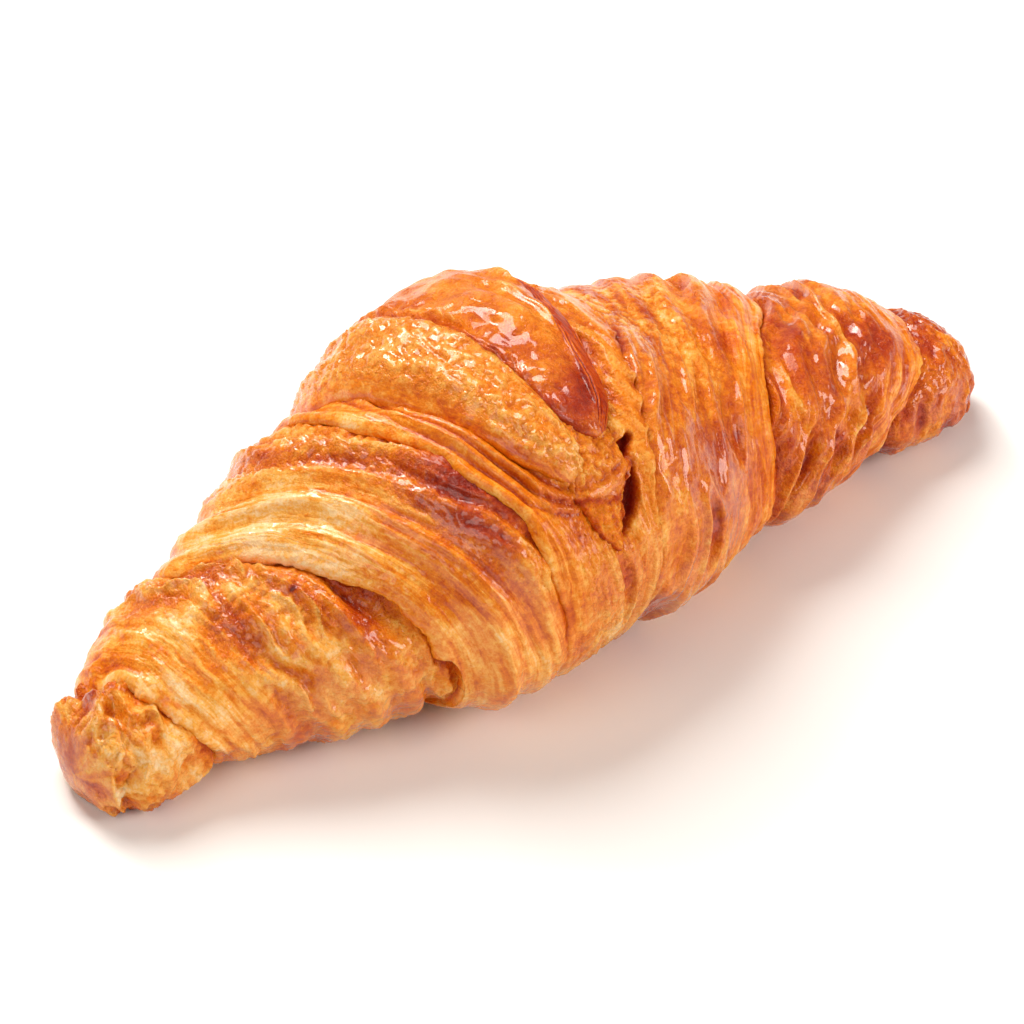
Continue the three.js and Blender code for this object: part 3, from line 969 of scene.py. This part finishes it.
# %% [markdown]
# The glazed ridge.
# It is the right part of the tongue and the glossiest place of all. It stands higher than the
# strip, is darkest at its end, and its right side is a cut edge that shows the layers as thin
# lines. Wide glints need a nearly smooth surface, so its relief is low, with one groove along
# it. Sculpting it by hand would work as well, but its edges have to stay on the dough's edges.

# %% The glazed ridge
RIDGE_HEIGHT = CONE_HEIGHT + 2.7
RIM_WIDTH, RIM_DEPTH, RIM_LAYER_SPACING = 3.4, 0.7, 0.7
GROOVE_DEPTH = 0.9
GROOVE = ((-2, 108, 0), (-1, 92, 0), (-1.6, 78, 0), (-3.2, 66, 0), (-4.6, 59, 0))
RIDGE_BROWNED = (
    (-6, 60, 5, 10, 0.4, 0.3), (2, 82, 3, 14, 0.12, 0.2), (-9, 84, 3, 5, 0.25, 0),
    (-10, 62, 3, 10, 0.15, 0),
)


def ridge_height(share, along, angle, closing):
    return closing**0.5 * tongue_fade(angle) * RIDGE_HEIGHT


def ridge_skin(share, along, angle, from_side, points):
    inward = along - edge_place("ridge_start", angle)
    crease = wrinkles(inward, angle, 4.2, 18, 50)
    low_side = np.exp(-((from_side / 3.5) ** 2)) * (share < 0.5)
    blister = blisters(points, 2.2, 11)
    border = from_side + 0.4 * stretched(along, angle, 9, 3, 54)
    rim = (1 - smooth(border, RIM_WIDTH, RIM_WIDTH + 0.5)) * (share > 0.5)
    layer = from_side / RIM_LAYER_SPACING + 0.7 * stretched(along, angle, 5, 4, 53)
    layers = np.sin(2 * np.pi * layer)
    layers = layers * smooth(stretched(from_side, angle, 0.9, 3, 55), -0.5, 0.4)
    groove = np.exp(-((inside_line(along, angle, GROOVE) / 1.5) ** 2))
    large = patches(points, 4.2, 7)
    fine = 0.6 * crease + (0.15 + 0.5 * low_side) * blister - GROOVE_DEPTH * groove + 0.5 * large
    fine = fine * (1 - rim) + (0.2 * layers - RIM_DEPTH) * rim
    mottled = patches(points, 3.3, 0) + 0.6 * patches(points, 1.2, 0)
    baked = 0.45 + 0.12 * mottled + spots(along, angle, RIDGE_BROWNED)
    # The ridge's crests and raised patches are painted paler: painted light.
    baked = baked - 0.06 * crease - 0.08 * large
    baked = mix(baked, 0.8 - 0.28 * layers + 0.08 * mottled, rim)
    # A narrow darker line along the ridge's low side is painted shade in the crease where it meets
    # the strip.
    baked = baked + 0.3 * np.exp(-((from_side / 0.9) ** 2)) * (share < 0.5)
    gloss = 0.9 - 0.6 * smooth(angle, 86, 104) - 1.2 * rim
    # The rim gets painted shade too, which darkens it beyond its own tone and dulls its glaze.
    return fine, finish_of(baked, gloss, 0.3 * rim, rim, inward)


pieces.append(tongue_layer(
    "glazed_ridge", lambda angle: edge_place("ridge_start", angle),
    lambda angle: edge_place("tongue_end", angle), end=48, rounding=13,
    height_over=ridge_height, skin=ridge_skin, spacing=ROW_SPACING,
))

# %% [markdown]
# The crumbly cone.
# It is the point of the dough, under the end of the strip. Its lower part is torn and rough
# like crumbs, and its upper part still has its smooth skin, with a slanting tear between them.
# Two meshes could make the two parts, but one mesh with two kinds of surface stays closed.

# %% The crumbly cone
TORN_ANGLE, TORN_SLOPE, TORN_PLACE = 32, 0.7, 9.7
CONE_LEFT = ((15, -12.4), (19, -13.1), (24, -13.8), (31, -14.6), (35, -15.5), (42, -15), (60, -14))
CONE_RIGHT = ((15, -9), (19, -9.2), (23, -7.8), (30, -6.8), (33, -5.4), (37, -4), (60, -4))


def cone_side(angle, side):
    """Where a side of the cone is along the roll, from its (angle, along) points."""
    turns, places = zip(*side)
    return np.interp(angle, turns, places)


def cone_height(share, along, angle, closing):
    return closing * (1.2 + 1.0 * smooth(angle, 15, 40))


def cone_skin(share, along, angle, from_side, points):
    crumb = blisters(points, 1.1, 13) + 0.5 * blisters(points, 2.2, 14)
    crumb = crumb + 0.5 * blisters(points, 0.6, 17)
    inward = along - edge_place("tongue_start", angle)
    rolls, crease, _ = rolled_layers(along, angle)
    torn = TORN_ANGLE - TORN_SLOPE * (along + TORN_PLACE)
    torn = torn + 1.5 * stretched(along, angle, 1.5, 9, 66)
    smooth_layer = smooth(angle - torn, -0.6, 0.6)
    tear = np.exp(-(((angle - torn + 1) / 1.1) ** 2))
    side = 1 - smooth(from_side, 0.2, 1.2)
    crumbly = 0.46 + 0.16 * patches(points, 1.4, 0) + 0.25 * side
    # The tear is painted darker and gets painted shade, as shade in the step between the smooth
    # skin and the crumbs.
    baked = mix(crumbly, 0.4 + 0.1 * crease, smooth_layer) + 0.25 * tear
    flaky = smooth_layer * smooth(angle, 34, 38)
    height = mix(0.7 * crumb - 0.7, 0.6 * rolls + 0.5 * flaky * (crumb - 0.8), smooth_layer)
    # Where the skin flakes, raised crumbs are painted paler and low ones darker: painted light and
    # shade.
    baked = baked + flaky * (0.1 - 0.2 * (crumb - 0.8))
    gloss = 0.65 * smooth_layer - 0.4 * flaky
    return height, finish_of(baked, gloss, 0.3 * tear, 0.5 - 0.5 * smooth_layer, inward)


pieces.append(tongue_layer(
    "point_cone", lambda angle: cone_side(angle, CONE_LEFT),
    lambda angle: cone_side(angle, CONE_RIGHT), end=CONE_END, rounding=8,
    height_over=cone_height, skin=cone_skin, root=62,
))

# %% [markdown]
# Finishes.
# All of the crust has one material, because on the real croissant colour changes with baking and
# not with the turn. A ramp of the colours of baking goes from pale straw to dark red-brown, and the
# glaze is a thin clear coat over it, weaker on the cut edges and in the slits. The ramp carries
# painted light and shade too: crests are painted paler, and slits, creases and hollows darker. A
# picture could be laid over the meshes instead, but it would bring its own shadows and glints with
# it.

# %% Shader maths
class Wire:
    """An output of a material's node, so that shader maths can be written as expressions."""

    def __init__(self, tree, socket):
        self.tree, self.socket = tree, socket

    def node(self, kind, settings=None, inputs=None, output=0):
        """Any other node, from its type, its settings and the values or wires of its sockets."""
        made = self.tree.nodes.new(kind)
        for key, value in (settings or {}).items():
            if key == "stops":
                elements = made.color_ramp.elements
                while len(elements) < len(value):
                    elements.new(1)
                for element, (place, colour) in zip(elements, value):
                    element.position, element.color = place, colour
            else:
                setattr(made, key, value)
        for key, value in (inputs or {}).items():
            if isinstance(value, Wire):
                self.tree.links.new(value.socket, made.inputs[key])
            else:
                made.inputs[key].default_value = value
        return Wire(self.tree, made.outputs[output]) if made.outputs else None

    def maths(self, operation, first, second, clamped=False):
        settings = {"operation": operation, "use_clamp": clamped}
        return self.node("ShaderNodeMath", settings, {0: first, 1: second})

    def __add__(self, other):
        return self.maths("ADD", self, other)

    __radd__ = __add__

    def __sub__(self, other):
        return self.maths("SUBTRACT", self, other)

    def __rsub__(self, other):
        return self.maths("SUBTRACT", other, self)

    def __mul__(self, other):
        return self.maths("MULTIPLY", self, other)

    __rmul__ = __mul__

    def clamped(self):
        return self.maths("ADD", self, 0, True)


def paint(red, green, blue):
    """A colour as on a screen, from 0 to 255, in the linear values that shaders use."""
    parts = [part / 255 for part in (red, green, blue)]
    return [p / 12.92 if p < 0.04045 else ((p + 0.055) / 1.055) ** 2.4 for p in parts] + [1]


# %% The crust's material
BAKED_COLOURS = [
    (0.0, paint(252, 212, 156)),
    (0.2, paint(245, 174, 74)),
    (0.4, paint(230, 127, 14)),
    (0.56, paint(210, 98, 7)),
    (0.72, paint(186, 68, 5)),
    (0.88, paint(164, 46, 5)),
    (1.0, paint(142, 32, 5)),
]


def crust_material():
    material = bpy.data.materials.new("baked_crust")
    material.use_nodes = True
    tree = material.node_tree
    tree.nodes.clear()
    base = Wire(tree, None)

    def value(name):
        return base.node("ShaderNodeAttribute", {"attribute_name": name}, output="Fac")

    place = base.node("ShaderNodeTexCoord", output="Object")
    along = base.node("ShaderNodeSeparateXYZ", inputs={0: place})
    forward, upright = (Wire(tree, along.socket.node.outputs[axis]) for axis in "YZ")
    sway = base.node("ShaderNodeTexNoise", inputs={"Vector": place, "Scale": 350.0, "Detail": 1.0})
    strand = value("strand") + (sway - 0.5) * 0.8

    def threads_of(per_millimetre, per_metre):
        at = base.node("ShaderNodeCombineXYZ", inputs={
            0: strand * per_millimetre,
            1: upright * per_metre + along * (0.2 * per_metre),
            2: forward * per_metre,
        })
        return base.node("ShaderNodeTexNoise", inputs={
            "Vector": at, "Scale": 1.0, "Detail": 2.0, "Roughness": 0.6})

    fine_threads = threads_of(3.0, 200) - 0.5
    wide_threads = threads_of(1.3, 90) - 0.5
    # crests are thin pale lines along the strands, painted paler as painted highlights.
    crests = (1 - base.maths("ABSOLUTE", threads_of(1.0, 70) - 0.5, 0) * 6).clamped()
    mottle = base.node("ShaderNodeTexNoise", inputs={
        "Vector": place, "Scale": 900.0, "Detail": 3.0, "Roughness": 0.6})
    speckle = base.node("ShaderNodeTexNoise", inputs={
        "Vector": place, "Scale": 2600.0, "Detail": 2.0, "Roughness": 0.6})
    cut, gloss, deep = value("cut"), value("gloss"), value("deep")
    share = cut * 0.88 + 0.12
    fibre = (fine_threads * 0.6 + wide_threads) * share
    baked = value("baked") + fibre * 0.46 + (mottle - 0.5) * 0.45 + (speckle - 0.5) * 0.35
    # Painted shade darkens the slits, creases, hollows and lip undersides, and the crests are
    # painted paler as painted highlights.
    baked = baked + deep * 0.28 - crests * share * 0.13
    colour = base.node("ShaderNodeValToRGB", {"stops": BAKED_COLOURS}, {0: baked.clamped()})
    rough = 0.27 - gloss * 0.1 + (mottle - 0.5) * 0.1
    shine = (gloss * 0.9 - deep * 0.4 + 0.04).clamped()
    threads = (fine_threads * 0.12 + wide_threads * 0.3) * share
    lumpy = ((mottle - 0.5) * 1.0 + (speckle - 0.5) * 0.6) * (1 - cut * 0.6)
    relief = threads + lumpy + crests * share * 0.08
    bump = base.node("ShaderNodeBump", inputs={
        "Height": relief, "Strength": 1.0, "Distance": 0.0006})
    shader = base.node("ShaderNodeBsdfPrincipled", inputs={
        "Base Color": colour, "Roughness": rough.clamped(), "Coat Weight": shine,
        "Coat Roughness": 0.08, "Coat IOR": 1.5, "Normal": bump, "Specular IOR Level": 0.2,
        "Subsurface Weight": 0.15, "Subsurface Scale": 0.0012,
        "Subsurface Radius": (1.0, 0.4, 0.15),
    })
    base.node("ShaderNodeOutputMaterial", inputs={"Surface": shader})
    return material


crust = crust_material()
for piece in pieces:
    piece.data.materials.append(crust)
    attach(piece, "root")
    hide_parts("croissant")
print(len(pieces), "pieces,", sum(len(p.data.polygons) for p in pieces), "faces")

# %% [markdown]
# Table, light and camera.
# The photo is a studio one: a pale ground, and a wide soft light overhead. A smaller light
# behind makes the small glints on the blisters, one on the front right leaves long pinkish
# glints on the folds, and a wide weak one fills in from the left. The camera looks down by 38
# degrees, from the left of the roll's front.

# %% The table
TABLE_SIZE = 4
bpy.ops.object.select_all(action="DESELECT")
bpy.ops.mesh.primitive_plane_add(size=TABLE_SIZE)
table = bpy.context.object
table.name = "table"
table_material = bpy.data.materials.new("pale_table")
table_material.use_nodes = True
table_shader = table_material.node_tree.nodes["Principled BSDF"]
table_shader.inputs["Base Color"].default_value = (0.9, 0.9, 0.9, 1)
table_shader.inputs["Roughness"].default_value = 0.7
table.data.materials.append(table_material)

# %% The light
SUBJECT = Vector((0, 0, 0.025))
WARM_WHITE, PINKISH_WHITE = (1, 0.96, 0.9), (1, 0.91, 0.84)


def direction(azimuth, elevation):
    """The way out from the subject. Azimuth 0 is in front of it, and 90 is on its right."""
    turn, rise = np.radians(azimuth), np.radians(elevation)
    return Vector((np.sin(turn) * np.cos(rise), -np.cos(turn) * np.cos(rise), np.sin(rise)))


def softbox(name, azimuth, elevation, distance, size, power, colour=WARM_WHITE):
    """A square light that faces the subject."""
    out = direction(azimuth, elevation)
    bpy.ops.object.light_add(type="AREA", location=SUBJECT + out * distance)
    light = bpy.context.object
    light.name = name
    light.rotation_euler = out.to_track_quat("Z", "Y").to_euler()
    light.data.size, light.data.energy, light.data.color = size, power, colour


softbox("overhead", 176, 63, 0.9, 0.44, 6.1)
softbox("behind", 178, 42, 0.9, 0.24, 4.2)
softbox("front_right", 36, 25, 0.9, 0.48, 5.8, PINKISH_WHITE)
softbox("left_fill", -75, 35, 1.0, 0.7, 3.7)
world = bpy.data.worlds.new("studio")
world.use_nodes = True
world.node_tree.nodes["Background"].inputs["Color"].default_value = (1, 0.94, 0.88, 1)
world.node_tree.nodes["Background"].inputs["Strength"].default_value = 0.15
bpy.context.scene.world = world
bpy.context.scene.view_settings.view_transform = "Standard"

# %% The camera
CAMERA_AZIMUTH, CAMERA_ELEVATION, CAMERA_DISTANCE = -38.308, 38, 0.7
CAMERA_TARGET = Vector((-0.011975, -0.009469, 0.025))
LENS, SENSOR = 158.76, 36
back = direction(CAMERA_AZIMUTH, CAMERA_ELEVATION)
bpy.ops.object.camera_add(location=CAMERA_TARGET + back * CAMERA_DISTANCE)
camera = bpy.context.object
camera.rotation_euler = back.to_track_quat("Z", "Y").to_euler()
camera.data.lens = LENS
camera.data.sensor_width = SENSOR
bpy.context.scene.camera = camera
